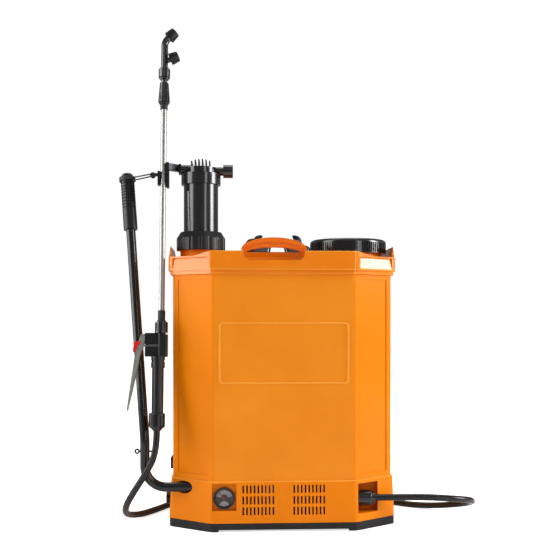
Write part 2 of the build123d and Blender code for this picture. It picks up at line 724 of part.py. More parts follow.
def make_plunger():
    swing = math.radians(crank_rest)
    pin_y_far = shaft_y + crank_length
    pin_y_near = shaft_y + crank_length * math.cos(swing)
    pin_z_rest = shaft_z + crank_length * math.sin(swing)
    reach = roller_radius + yoke_play
    yoke = block(pump_x - 9, pump_x + 9, pin_y_near - reach - 4, pin_y_far + reach + 4,
                 pin_z_rest - reach - 4, pin_z_rest + reach + 4)
    yoke -= block(pump_x - 10, pump_x + 10, pin_y_near - reach, pin_y_far + reach,
                  pin_z_rest - reach, pin_z_rest + reach)
    return yoke + post(rod_radius, pin_z_rest + reach + 3, piston_rest + 14, pump_x, pump_y)


def make_piston():
    outer = barrel_radius - barrel_wall - running
    cup = post(outer, piston_rest, piston_rest + 14, pump_x, pump_y)
    cup -= ring(outer + 1, outer - 1.5, piston_rest + 4, piston_rest + 10, pump_x, pump_y)
    return cup - post(rod_radius + 0.02, piston_rest - 1, piston_rest + 15, pump_x, pump_y)


def make_band():
    # Rubber loop round the grip with an eye over the peg of the lance clip.
    way = Vector(*lever_tip())
    foot = Vector(lever_x, shaft_y, lever_kink_z)
    middle = foot + way * ((band_z - 4 - lever_kink_z) / way.Z)
    collar = Cylinder(grip_radius + 2.2, 7) - Cylinder(grip_radius + 0.3, 9)
    band = Plane(origin=middle, x_dir=(1, 0, 0), z_dir=way).location * collar
    eye_x = lance_x - lance_radius - running - hook_reach
    eye_y = lance_centre_y(clip_z) + 9
    eye = rod_y(5.2, eye_y - 2, eye_y + 2, eye_x, band_z) - rod_y(3.2, eye_y - 3, eye_y + 3, eye_x, band_z)
    start = Vector(eye_x - 4.2, eye_y, band_z)
    end = Vector(middle.X + grip_radius * 0.86, middle.Y - grip_radius * 0.72, middle.Z)
    strands = []
    for lift in (-2.6, 2.6):
        a, b = start + Vector(0.4, 0, lift * 0.8), end + Vector(0, 0, lift)
        strands.append(Plane(origin=(a + b) / 2, z_dir=b - a).location * Cylinder(1.2, (b - a).length))
    return band + eye + strands


# ---------------------------------------------------------------- lance, in its own frame
lance_frame = Location((lance_x, lance_y, lance_z), (-lance_lean, 0, 0))


def make_valve_body():
    body = block(-5, 11, -8, 8, -31, 6)
    body = fillet(body.edges().filter_by(Axis.Z), 4)
    body += post(7, 5, 22)
    body += block(-26.8, -5, -4.6, 4.6, -11, 8.7) + block(-26.8, -5, -4.6, 4.6, -30.5, -14.6)
    px, pz = trigger_pivot
    body += rod_y(4.2, -4.6, 4.6, px, pz) + block(px, -26, -4.6, 4.6, pz - 4.2, pz + 4.2)
    body -= rod_y(1.5, -6, 6, px, pz)
    body -= rod_x(spindle_radius + running, -6, 4, 0, spindle_z)
    body -= post(3, 8, 23)
    return lance_frame * body


def make_valve_nut():
    nut = post(10.8, 9, 27)
    nut -= post(7 + seat, 8, 22 + seat)
    nut -= post(lance_radius + 0.05, 20, 28)
    grooves = [Rot(0, 0, turn * 15) * block(10.2, 12, -0.7, 0.7, 11, 25) for turn in range(24)]
    return lance_frame * (nut - Compound(children=grooves))


def make_lance_sleeve():
    return lance_frame * (ring(6.2, lance_radius + 0.05, 28, 47) + ring(7.6, lance_radius + 0.05, 27, 30))


def make_lance_tube():
    return lance_frame * ring(lance_radius, lance_radius - 1, 22.4, lance_reach)


def make_upper_sleeve():
    return lance_frame * (ring(6.4, lance_radius + 0.05, 401, 414) + ring(8.2, lance_radius + 0.05, 411, 414))


def make_nozzle_nut():
    nut = loft([Pos(0, 0, 414) * Circle(10.2), Pos(0, 0, 449) * Circle(7.6)])
    nut -= post(lance_radius + 0.05, 413, lance_reach + seat)
    nut -= post(lance_radius + running, 429, 450)
    grooves = [Rot(0, 0, turn * 30) * block(8.8, 14, -0.9, 0.9, 416, 440) for turn in range(12)]
    return lance_frame * (nut - Compound(children=grooves))


def make_nozzle_head():
    head = post(lance_radius, lance_reach + 1, 458)
    head += post(8, 456, 477) + post(10, 459, 474)
    path = FilletPolyline((0, 0, 476), (0, 0, cap_bend_z), (crown_reach, 0, cap_bend_z + crown_reach), radius=20)
    head += tube_along(path, 6)
    head += branch_location() * post(4.5, -6, 8)
    head += crown_location() * post(4.5, -2, 8)
    head -= post(2.5, lance_reach, 470)
    return lance_frame * head


def crown_location():
    # Nozzle seat at the end of the curved pipe.
    return Plane(origin=(crown_reach, 0, cap_bend_z + crown_reach), z_dir=(1, 0, 1)).location


def branch_location():
    return Plane(origin=(10, 0, branch_z + 3.5), z_dir=(math.cos(branch_rise), 0, math.sin(branch_rise))).location


def make_nozzle_cap(location):
    cap = loft([Circle(10.5), Pos(0, 0, 14.5) * Circle(8.8)])
    cap -= post(4.5 + running, -1, 8.5) + post(1.2, 8, 16) + post(6, 12.5, 16)
    grooves = [Rot(0, 0, turn * 30) * block(9.2, 14, -0.8, 0.8, 1, 12) for turn in range(12)]
    return lance_frame * location * Pos(0, 0, 0.5) * (cap - Compound(children=grooves))


def make_lance_handle():
    x = handle_offset
    grip = post(handle_radius, -124.3, -48, x) + post(11.5, -49.5, -31.1, x)
    grip = grip - ring(14, 10.6, -40, -37, x)
    grip -= post(3.5, -125, -31, x)
    return lance_frame * grip


def make_tail_nut():
    x = handle_offset - 0.7
    nut = post(13.5, -150, -124.5, x)
    nut = fillet(nut.edges().group_by(Axis.Z)[-1], 3)
    nut = chamfer(nut.edges().group_by(Axis.Z)[0], 3)
    nut += loft([Pos(x, 0, -150) * Circle(9.5), Pos(x, 0, -154) * Circle(6.6)])
    grooves = [Pos(x, 0, 0) * Rot(0, 0, turn * 30) * block(12.6, 16, -1.2, 1.2, -146, -128) for turn in range(12)]
    return lance_frame * (nut - Compound(children=grooves))


def make_trigger():
    side = [(-30.5, 7.5), (-34, 5.5), (-37.3, -5), (-40.5, -16), (-43, -28), (-55.2, -119.5), (-54.6, -121),
            (-53.4, -120.6), (-51.8, -112), (-38, -46), (-36, -34), (-33.5, -24), (-29.5, -14), (-27, -4),
            (-26.5, 3)]
    hollow = [(-30, 12), (-36.6, 5.5), (-36.1, -5), (-39.3, -16), (-41.8, -28), (-52.5, -109),
              (-44, -120), (-20, -60), (-20, 12)]
    body = plate_xz(side, -6.2, 6.2) - plate_xz(hollow, -5, 5)
    px, pz = trigger_pivot
    body -= rod_y(1.75, -8, 8, px, pz)
    body -= rod_y(1.75, -8, 8, *lock_pivot)
    return lance_frame * body


def make_trigger_pin():
    px, pz = trigger_pivot
    return lance_frame * (rod_y(1.5, -6.9, 6.9, px, pz) + rod_y(2.6, -7.6, -6.6, px, pz))


def make_trigger_lock():
    cheek = [(-33, -6), (-44.6, -6), (-46.2, -22), (-43.5, -25.5), (-37, -12)]
    bay = [(-27, 0), (-39.4, -4.5), (-42.7, -16), (-45, -28), (-27, -28)]
    lock = plate_xz(cheek, -7.7, 7.7) - plate_xz(bay, -6.5, 6.5)
    for y0, y1 in ((-7, -5.2), (5.2, 7)):
        lock += rod_y(1.6, y0, y1, *lock_pivot)
    return lance_frame * lock


def make_spindle():
    return lance_frame * rod_x(spindle_radius, -37.8, -1, 0, spindle_z)


# ---------------------------------------------------------------- hose
def hose_radii():
    radii = []
    for a, b, c in zip(hose_points, hose_points[1:], hose_points[2:]):
        before, after = Vector(*b) - Vector(*a), Vector(*c) - Vector(*b)
        turn = before.get_angle(after)
        radii.append(0.45 * min(before.length, after.length) / math.tan(math.radians(turn / 2)))
        print(f"hose turn {turn:5.1f} deg, radius {radii[-1]:6.1f}, run {before.length:5.1f}")
    return radii


def make_hose():
    path = FilletPolyline(*hose_points, radius=hose_radii())
    hose = tube_along(path, hose_radius)
    print(f"hose {path.length:.0f} long, volume {hose.volume / (path.length * math.pi * hose_radius ** 2):.4f}")
    return hose


# ---------------------------------------------------------------- straps
def pad_location(side):
    return Pos(side * 32, 0, pad_top) * Rot(0, side * -pad_tilt, 0)


def make_pad(side):
    # Side view: up from the strap bar, over the top and down the back.
    drop = pad_top - pad_bottom
    y = back + rim_grow + pad_gap
    strap = block(-pad_width / 2, pad_width / 2, y, y + pad_thick, -drop, 0)
    strap = fillet(strap.edges().filter_by(Axis.Y), 8)
    return pad_location(side) * strap


def make_strap_bar():
    y = back - 22
    bar = rod_x(4, -70, 70, y, tank_top + 12)
    for x in (-66, 0, 66):
        bar += block(x - 4, x + 4, y - 7, y + 7, tank_top, tank_top + 12)
    return bar


def make_top_webbing(side):
    # Webbing loop from the bar to the head of the pad.
    y0, y1 = back - 22, back + rim_grow + pad_gap
    z = pad_top - 9
    loop = block(-web_width / 2, web_width / 2, y0 - 6, y1 + 0.0, z, z + web_thick)
    loop += block(-web_width / 2, web_width / 2, y0 - 6, y0 - 6 + web_thick, tank_top + 6, z + web_thick)
    return Pos(side * 32, 0, 0) * loop


def make_side_webbing(side):
    band = slab(running + web_thick, tank_bottom + 6, 300) - slab(running, tank_bottom, 301)
    head = Vector(side * 100, back + 2, pad_bottom + 22)
    foot = Vector(side * (half_w + 2), hook_y, hook_z + 26)
    way = foot - head
    across = way.cross(Vector(side * 0.55, 0.83, 0)).normalized()
    strip = Plane(origin=(head + foot) / 2, x_dir=way, z_dir=across).location * Box(way.length, 400, web_width)
    reach = half_w + 50
    keep = Pos(side * reach / 2, hook_y - 6 + back, 250) * Box(reach, 2 * back, 500)
    return (band & strip) & keep


def make_hooks():
    hooks = []
    for side in (-1, 1):
        x0 = half_w + 0.2
        hook = block(x0, x0 + 9, hook_y - 15, hook_y + 15, tank_bottom + 1, hook_z + 24)
        hook -= block(x0 - 1, x0 + 2.3, hook_y - 16, hook_y + 16, tank_bottom + 9, hook_z + 25)
        hook -= block(x0 - 1, x0 + 12, hook_y - 8, hook_y + 8, hook_z + 8, hook_z + 14)
        if side < 0:
            hook = mirror(hook, about=Plane.YZ)
        hooks.append(hook)
    return group(hooks)


# ---------------------------------------------------------------- write the pieces
parts = {
    "tank_shell": make_tank(),
    "top_rim": make_rim(),
    "carry_handle": make_carry_handle(),
    "handle_screws": make_handle_screws(),
    "strainer_basket": make_strainer(),
    "lid_gasket": make_lid_gasket(),
    "filler_lid": make_lid(),
    "pump_barrel": make_barrel(),
    "barrel_gasket": make_barrel_gasket(),
    "pump_nut": make_pump_nut(),
    "air_chamber": make_chamber(),
    "chamber_seal": make_chamber_seal(),
    "chamber_cap": make_cap(),
    "port_nut": make_port_nut(),
    "lance_clip": make_clip(),
    "base_housing": make_housing(),
    "base_plate": make_base_plate(),
    "rubber_feet": make_feet(),
    "housing_screws": make_housing_screws(),
    "battery": make_battery(),
    "battery_strap": make_battery_strap(),
    "pump_motor": make_motor(),
    "diaphragm_pump": make_diaphragm(),
    "suction_tube": make_suction(),
    "delivery_tube": make_delivery(),
    "outlet_fitting": make_outlet_fitting(),
    "hose_nut": make_hose_nut(),
    "gauge_bezel": make_gauge_bezel(),
    "gauge_dial": make_gauge_dial(),
    "gauge_needle": make_gauge_needle(),
    "gauge_lens": make_gauge_lens(),
    "speed_knob": make_knob(),
    "lever_arm": make_lever_arm(),
    "lever_tube": make_lever_tube(),
    "lever_grip": make_grip(),
    "lever_pin": make_lever_pin(),
    "shaft_bracket": make_bracket(),
    "shaft_bushes": make_bushes(),
    "rocker_crank": make_crank(),
    "plunger_rod": make_plunger(),
    "piston_cup": make_piston(),
    "stow_band": make_band(),
    "valve_body": make_valve_body(),
    "valve_nut": make_valve_nut(),
    "lance_sleeve": make_lance_sleeve(),
    "lance_tube": make_lance_tube(),
    "upper_sleeve": make_upper_sleeve(),
    "nozzle_nut": make_nozzle_nut(),
    "nozzle_head": make_nozzle_head(),
    "crown_nozzle_cap": make_nozzle_cap(crown_location()),
    "branch_nozzle_cap": make_nozzle_cap(branch_location()),
    "lance_handle": make_lance_handle(),
    "hose_tail_nut": make_tail_nut(),
    "trigger": make_trigger(),
    "trigger_pin": make_trigger_pin(),
    "trigger_lock": make_trigger_lock(),
    "valve_spindle": make_spindle(),
    "hose": make_hose(),
    "shoulder_pads": group([make_pad(-1), make_pad(1)]),
    "strap_webbing": group([make_top_webbing(-1), make_top_webbing(1), make_side_webbing(-1), make_side_webbing(1),
                            make_strap_bar(), make_hooks()]),
}

os.makedirs("parts", exist_ok=True)
for name, shape in parts.items():
    export_step(shape, f"parts/{name}.step")
print(len(parts), "pieces written")
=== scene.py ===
import bpy
import math
from mathutils import Matrix, Vector


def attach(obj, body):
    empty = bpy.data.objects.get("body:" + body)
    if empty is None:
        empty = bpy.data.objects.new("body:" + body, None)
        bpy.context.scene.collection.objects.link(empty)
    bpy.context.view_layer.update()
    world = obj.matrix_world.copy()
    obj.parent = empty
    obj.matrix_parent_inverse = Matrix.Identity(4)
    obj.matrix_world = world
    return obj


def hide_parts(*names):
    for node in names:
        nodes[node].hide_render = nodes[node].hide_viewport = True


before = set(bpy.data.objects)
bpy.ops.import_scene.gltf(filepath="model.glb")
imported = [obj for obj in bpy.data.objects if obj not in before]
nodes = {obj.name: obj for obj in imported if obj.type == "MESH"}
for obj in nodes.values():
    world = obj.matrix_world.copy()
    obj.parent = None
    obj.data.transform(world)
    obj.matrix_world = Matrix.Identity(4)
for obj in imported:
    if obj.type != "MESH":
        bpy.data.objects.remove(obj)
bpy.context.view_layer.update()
print("frame loaded:", len(nodes), "nodes")


def activate(obj):
    bpy.ops.object.select_all(action="DESELECT")
    obj.select_set(True)
    bpy.context.view_layer.objects.active = obj


def applyPlace(obj):
    activate(obj)
    bpy.ops.object.transform_apply(location=True, rotation=True, scale=True)


def applyModifiers(obj):
    activate(obj)
    for modifier in list(obj.modifiers):
        bpy.ops.object.modifier_apply(modifier=modifier.name)


def bevelEdges(obj, width):
    bevel = obj.modifiers.new("bevel", "BEVEL")
    bevel.width = width
    bevel.segments = 3
    bevel.limit_method = "ANGLE"
    bevel.angle_limit = math.radians(35)
    applyModifiers(obj)


def smooth(obj, angle):
    activate(obj)
    bpy.ops.object.shade_smooth_by_angle(angle=math.radians(angle))


def joinPieces(name, pieces):
    activate(pieces[0])
    for piece in pieces:
        piece.select_set(True)
    bpy.ops.object.join()
    joined = bpy.context.active_object
    joined.name = name
    joined.data.name = name
    return joined


def rgb(red, green, blue):
    return (red, green, blue, 1)


class Value:
    # A shader socket that can be used in sums; each sum adds its Math node.
    def __init__(self, finish, socket):
        self.finish = finish
        self.socket = socket

    def combine(self, operation, first, second):
        return self.finish.add("ShaderNodeMath", {"operation": operation}, {0: first, 1: second})

    def __add__(self, other):
        return self.combine("ADD", self, other)

    def __radd__(self, other):
        return self.combine("ADD", other, self)

    def __sub__(self, other):
        return self.combine("SUBTRACT", self, other)

    def __rsub__(self, other):
        return self.combine("SUBTRACT", other, self)

    def __mul__(self, other):
        return self.combine("MULTIPLY", self, other)

    def __rmul__(self, other):
        return self.combine("MULTIPLY", other, self)

    def __truediv__(self, other):
        return self.combine("DIVIDE", self, other)


class Finish:
    # A material on the main shader; place holds its Object coordinates in metres.
    def __init__(self, name, constants):
        self.material = bpy.data.materials.new(name)
        self.material.use_nodes = True
        self.tree = self.material.node_tree
        self.shader = self.tree.nodes["Principled BSDF"]
        for socket, value in constants.items():
            self.shader.inputs[socket].default_value = value
        self.place = self.add("ShaderNodeTexCoord", {}, {}, "Object")

    def add(self, kind, settings, inputs, output=0):
        node = self.tree.nodes.new(kind)
        for name, value in settings.items():
            setattr(node, name, value)
        for name, value in inputs.items():
            if isinstance(value, Value):
                self.tree.links.new(value.socket, node.inputs[name])
            else:
                node.inputs[name].default_value = value
        return Value(self, node.outputs[output])

    def feed(self, socket, value):
        self.tree.links.new(value.socket, self.shader.inputs[socket])

    def noise(self, scale, detail=3, roughness=0.55, stretch=None):
        where = self.place
        if stretch:
            where = self.add("ShaderNodeMapping", {}, {"Vector": where, "Scale": stretch})
        return self.add("ShaderNodeTexNoise", {}, {"Vector": where, "Scale": scale, "Detail": detail,
                                                   "Roughness": roughness}, "Fac")

    def limit(self, value, low, high, toLow=0.0, toHigh=1.0):
        return self.add("ShaderNodeMapRange", {"clamp": True},
                        {"Value": value, "From Min": low, "From Max": high,
                         "To Min": toLow, "To Max": toHigh})

    def wave(self, value):
        return self.add("ShaderNodeMath", {"operation": "SINE"}, {0: value * (2 * math.pi)})

    def mix(self, share, first, second):
        return self.add("ShaderNodeMix", {"data_type": "RGBA"}, {0: share, 6: first, 7: second}, 2)

    def bump(self, height, strength, distance):
        normal = self.add("ShaderNodeBump", {}, {"Height": height, "Strength": strength,
                                                 "Distance": distance})
        self.feed("Normal", normal)

    def axis(self, letter, where=None):
        return self.add("ShaderNodeSeparateXYZ", {}, {"Vector": where or self.place}, letter)


view = {"distance": 1.587, "azimuth": -3.0, "height": 0.352, "aside": 0.05, "shift": 0.068, "lens": 57.5}


def makeCamera():
    angle = math.radians(view["azimuth"])
    place = (math.sin(angle) * view["distance"], -math.cos(angle) * view["distance"], view["height"])
    bpy.ops.object.camera_add(location=place)
    camera = bpy.context.active_object
    camera.name = "mainCamera"
    camera.rotation_euler = (math.radians(90), 0, angle + math.radians(view["aside"]))
    camera.data.shift_y = view["shift"]
    camera.data.lens = view["lens"]
    camera.data.sensor_width = 36
    bpy.context.scene.camera = camera


lamps = {
    "leftSoftbox": {"place": (-2.15, -0.80, 1.25), "size": (1.3, 1.7), "watts": 34, "aim": (0, 0, 0.38)},
    "rightSoftbox": {"place": (2.25, -0.50, 1.24), "size": (0.8, 1.2), "watts": 50, "aim": (0, 0, 0.38)},
    "frontFill": {"place": (1.15, -2.10, 0.75), "size": (0.5, 1.2), "watts": 7, "aim": (0, 0, 0.35)},
    "highKey": {"place": (-0.2, -2.5, 2.5), "size": (2.0, 1.0), "watts": 3, "aim": (0, 0, 0.30)},
    "topSoftbox": {"place": (0.1, 0.4, 2.4), "size": (1.6, 1.2), "watts": 20, "aim": (0, 0, 0.35)},
    "leftStrip": {"place": (-1.7, 0.15, 0.80), "size": (0.35, 1.3), "watts": 11, "aim": (0, 0, 0.60)},
    "rightStrip": {"place": (1.75, 0.02, 0.82), "size": (0.25, 0.6), "watts": 3, "aim": (0, 0, 0.60)},
}


def makeLights():
    for name, lamp in lamps.items():
        bpy.ops.object.light_add(type="AREA", location=lamp["place"])
        light = bpy.context.active_object
        light.name = name
        light.data.shape = "RECTANGLE"
        light.data.size, light.data.size_y = lamp["size"]
        light.data.energy = lamp["watts"]
        aim = Vector(lamp["aim"]) - Vector(lamp["place"])
        light.rotation_euler = aim.to_track_quat("-Z", "Y").to_euler()


wall = {"fill": 0.18, "mirrored": 0.21, "seen": 1.02}  # brightness of the white surroundings


def makeSurroundings():
    # white to the camera, dim in mirrors, a soft fill everywhere else
    world = bpy.data.worlds.new("studio")
    world.use_nodes = True
    tree = world.node_tree
    background = tree.nodes["Background"]
    background.inputs["Color"].default_value = rgb(1, 1, 1)
    rays = tree.nodes.new("ShaderNodeLightPath")
    level = tree.nodes.new("ShaderNodeValue")
    level.outputs[0].default_value = wall["fill"]
    for ray, brightness in (("Is Glossy Ray", wall["mirrored"]), ("Is Camera Ray", wall["seen"])):
        raised = tree.nodes.new("ShaderNodeMath")
        raised.operation = "MULTIPLY_ADD"
        raised.inputs[1].default_value = brightness - wall["fill"]
        tree.links.new(rays.outputs[ray], raised.inputs[0])
        tree.links.new(level.outputs[0], raised.inputs[2])
        level = raised
    tree.links.new(level.outputs[0], background.inputs["Strength"])
    bpy.context.scene.world = world
    bpy.context.scene.view_settings.view_transform = "Standard"


ground = {"size": 14, "grey": 0.93, "fadeFrom": 0.5, "fadeTo": 1.6, "nearGlow": 0.66, "farGlow": 1.0}


def makeFloor():
    bpy.ops.mesh.primitive_plane_add(size=ground["size"], location=(0, 0, 0))
    floor = bpy.context.active_object
    floor.name = "studioFloor"
    grey = ground["grey"]
    paint = Finish("floorPaint", {"Base Color": rgb(grey, grey, grey), "Roughness": 0.6,
                                  "Specular IOR Level": 0.1, "Emission Color": rgb(1, 1, 1)})
    # the floor fades into the white wall
    reach = paint.add("ShaderNodeVectorMath", {"operation": "LENGTH"}, {0: paint.place}, "Value")
    glow = paint.limit(reach, ground["fadeFrom"], ground["fadeTo"], ground["nearGlow"], ground["farGlow"])
    paint.feed("Emission Strength", paint.add("ShaderNodeLightPath", {}, {}, "Is Camera Ray") * glow)
    floor.data.materials.append(paint.material)


makeCamera()
makeLights()
makeSurroundings()
makeFloor()
print("camera, lights and floor made")


def plastic(name, dark, light, roughness, coat=0.0, peel=0.12, grain=0.05, dust=0.1, shine=0.5, paintedHighlights=()):
    # the last argument holds an axis and its range for each raised edge painted a lighter orange: a painted
    # highlight where light catches the edge
    finish = Finish(name, {"Coat Roughness": 0.06, "Specular IOR Level": shine, "Coat Weight": coat})
    cloud = finish.noise(9, 4)
    speck = finish.noise(900, 2)
    waves = finish.noise(70, 2)
    scratches = finish.limit(finish.noise(60, 5, 0.7, (1, 1, 14)), 0.60, 0.72)
    settled = finish.limit(finish.noise(26, 6, 0.65), 0.50, 0.78) * dust
    base = finish.mix(finish.limit(cloud, 0.3, 0.7), dark, light)
    edge = 0.0003
    for letter, low, high in paintedHighlights:
        along = finish.axis(letter)
        highlightBand = finish.limit(along, low - edge, low) * finish.limit(along, high, high + edge, 1.0, 0.0)
        # painted highlight: the band is mixed towards a lit, lighter orange
        base = finish.mix(highlightBand * (0.35 + cloud * 0.5), base, rgb(0.95, 0.42, 0.06))
    finish.feed("Base Color", finish.mix(settled * 0.35, base, rgb(0.42, 0.40, 0.37)))
    finish.feed("Roughness", roughness + settled * 0.6 + scratches * 0.07 + (speck - 0.5) * 0.05)
    finish.bump(waves * peel + speck * grain + scratches * -0.02, 0.5, 0.0006)
    return name, finish.material


def rubber(name, dark, light, roughness, grain=0.5):
    finish = Finish(name, {"Specular IOR Level": 0.35})
    speck = finish.noise(1400, 3)
    cloud = finish.noise(22, 4)
    base = finish.mix(finish.limit(cloud, 0.35, 0.7), dark, light)
    bloom = finish.limit(finish.noise(45, 5, 0.7), 0.55, 0.8)
    finish.feed("Base Color", finish.mix(bloom * 0.14, base, rgb(0.30, 0.29, 0.27)))
    finish.feed("Roughness", roughness + bloom * 0.15 + (speck - 0.5) * 0.1)
    finish.bump(speck * grain, 0.6, 0.0003)
    return name, finish.material


def metal(name, dark, light, roughness, stretch=None, tint=0.0, streak=0.12, relief=0.12):
    finish = Finish(name, {"Metallic": 1.0})
    brushed = finish.noise(260, 4, 0.6, stretch)
    stain = finish.limit(finish.noise(38, 5, 0.65), 0.45, 0.75)
    base = finish.mix(finish.limit(brushed, 0.3, 0.7), dark, light)
    if tint:
        base = finish.mix(stain * tint, base, rgb(0.42, 0.47, 0.30))
    finish.feed("Base Color", base)
    finish.feed("Roughness", roughness + (brushed - 0.5) * streak + stain * 0.10)
    finish.bump(brushed, relief, 0.00015)
    return name, finish.material


def powderCoat(name, dark, light, roughness):
    finish = Finish(name, {"Specular IOR Level": 0.5})
    pebble = finish.noise(620, 3)
    cloud = finish.noise(14, 4)
    rub = finish.limit(finish.noise(130, 6, 0.75), 0.66, 0.72)
    base = finish.mix(finish.limit(cloud, 0.3, 0.7), dark, light)
    finish.feed("Base Color", finish.mix(rub * 0.35, base, rgb(0.16, 0.155, 0.15)))
    finish.feed("Roughness", roughness + (pebble - 0.5) * 0.15 - rub * 0.08)
    finish.bump(pebble - rub * 0.6, 0.35, 0.0003)
    return name, finish.material


def clearPlastic(name):
    finish = Finish(name, {"IOR": 1.49, "Alpha": 0.10, "Specular IOR Level": 0.6})
    smear = finish.limit(finish.noise(120, 4), 0.5, 0.8)
    finish.feed("Base Color", finish.mix(smear, rgb(0.05, 0.055, 0.055), rgb(0.10, 0.105, 0.105)))
    finish.feed("Roughness", 0.04 + smear * 0.12)
    return name, finish.material


def wovenFabric(name, dark, light, pitch, roughness=0.82, followsStrap=False):
    finish = Finish(name, {"Specular IOR Level": 0.3, "Sheen Weight": 0.15, "Sheen Roughness": 0.5})
    if followsStrap:
        where = finish.add("ShaderNodeUVMap", {"uv_map": "weave"}, {}, "UV")
        along, across = finish.axis("X", where), finish.axis("Y", where)
        slant = finish.add("ShaderNodeMath", {"operation": "ABSOLUTE"}, {0: across})
        weft = finish.wave((along + slant * 0.8) / pitch)
        warp = finish.wave(across / (pitch * 0.6))
    else:
        weft = finish.wave(finish.axis("Z") / pitch)
        warp = finish.wave(finish.axis("X") / pitch)
    fuzz = finish.noise(2600, 2)
    fade = finish.limit(finish.noise(24, 5, 0.65), 0.45, 0.8)
    height = weft * warp * 0.5 + 0.5
    base = finish.mix(height * 0.7 + fuzz * 0.3, dark, light)
    finish.feed("Base Color", finish.mix(fade * 0.22, base, rgb(0.075, 0.073, 0.07)))
    finish.feed("Roughness", roughness + (fuzz - 0.5) * 0.2)
    finish.bump(height + fuzz * 0.3, 0.5, 0.0004)
    return name, finish.material


shellOrange = {"dark": rgb(0.80, 0.205, 0.002), "light": rgb(0.87, 0.233, 0.0025), "roughness": 0.25,
               "peel": 0.16, "grain": 0.03, "dust": 0.02, "shine": 0.11}

finishes = dict([
    # painted highlights: lighter bands on the raised label border, the top ledge of the base and lines
    # along the rim
    plastic("orangeTank", **shellOrange, paintedHighlights=(("Y", -0.1092, -0.1077),)),
    plastic("orangeBase", **shellOrange, paintedHighlights=(("Z", 0.0815, 0.0840),)),
    plastic("orangeRim", rgb(0.82, 0.203, 0.0025), rgb(0.89, 0.231, 0.003), 0.13, coat=0.25, peel=0.08,
            grain=0.02, dust=0.04, shine=0.35,
            paintedHighlights=(("Z", 0.4319, 0.4331), ("Z", 0.4254, 0.4264), ("Z", 0.4616, 0.4640))),
    # the handle's own copy of the orange, redder and brighter than the tank's; its extra brightness is
    # painted light
    plastic("orangeHandle", rgb(0.84, 0.145, 0.003), rgb(0.90, 0.180, 0.004), 0.20, coat=0.25, peel=0.08,
            grain=0.03, dust=0.04),
    plastic("blackGloss", rgb(0.008, 0.008, 0.009), rgb(0.013, 0.013, 0.014), 0.20, coat=0.4, peel=0.04,
            grain=0.02, dust=0.06),
    plastic("blackSatin", rgb(0.004, 0.004, 0.0045), rgb(0.008, 0.008, 0.009), 0.34, peel=0.08, grain=0.14,
            dust=0.04, shine=0.4),
    plastic("footPlastic", rgb(0.006, 0.006, 0.007), rgb(0.011, 0.0115, 0.013), 0.46, peel=0.10, grain=0.25,
            dust=0.06, shine=0.35),
    plastic("redPlastic", rgb(0.55, 0.010, 0.006), rgb(0.65, 0.016, 0.008), 0.24, coat=0.2, peel=0.06),
    plastic("whitePlastic", rgb(0.70, 0.70, 0.66), rgb(0.80, 0.80, 0.77), 0.42, peel=0.10, grain=0.1),
    plastic("batteryCase", rgb(0.05, 0.055, 0.06), rgb(0.075, 0.08, 0.088), 0.48, peel=0.05, grain=0.2),
    metal("dialSilver", rgb(0.36, 0.37, 0.36), rgb(0.46, 0.47, 0.46), 0.42, (1, 1, 12)),
    rubber("gripRubber", rgb(0.006, 0.006, 0.0065), rgb(0.012, 0.012, 0.013), 0.36, grain=0.3),
    rubber("bandRubber", rgb(0.022, 0.022, 0.022), rgb(0.035, 0.035, 0.034), 0.55),
    rubber("sealRubber", rgb(0.014, 0.014, 0.014), rgb(0.024, 0.024, 0.024), 0.60),
    rubber("hoseRubber", rgb(0.007, 0.007, 0.0075), rgb(0.013, 0.013, 0.014), 0.25, grain=0.10),
    metal("chrome", rgb(0.33, 0.33, 0.318), rgb(0.41, 0.41, 0.397), 0.42, (1, 1, 0.05), streak=0.04,
          relief=0.0),
    metal("steel", rgb(0.44, 0.44, 0.43), rgb(0.60, 0.60, 0.58), 0.32, (1, 1, 6)),
    metal("zincPlate", rgb(0.46, 0.48, 0.43), rgb(0.62, 0.64, 0.57), 0.34, (1, 1, 0.2), tint=0.45),
    metal("brass", rgb(0.60, 0.40, 0.14), rgb(0.72, 0.52, 0.22), 0.28),
    powderCoat("leverPaint", rgb(0.004, 0.004, 0.0045), rgb(0.008, 0.008, 0.0085), 0.20),
    plastic("needlePaint", rgb(0.22, 0.02, 0.015), rgb(0.28, 0.03, 0.02), 0.35),
    clearPlastic("clearLens"),
    plastic("dialBlack", rgb(0.025, 0.027, 0.026), rgb(0.04, 0.042, 0.040), 0.35),
    plastic("dialInk", rgb(0.02, 0.02, 0.02), rgb(0.03, 0.03, 0.03), 0.5),
    wovenFabric("padFabric", rgb(0.012, 0.012, 0.013), rgb(0.030, 0.030, 0.032), 0.0013),
    wovenFabric("webbing", rgb(0.010, 0.010, 0.011), rgb(0.034, 0.034, 0.036), 0.0017, 0.72,
                followsStrap=True),
    wovenFabric("bindingTape", rgb(0.010, 0.010, 0.011), rgb(0.026, 0.026, 0.028), 0.0009, 0.75),
    rubber("thread", rgb(0.05, 0.05, 0.052), rgb(0.08, 0.08, 0.083), 0.6, grain=0.2),
])

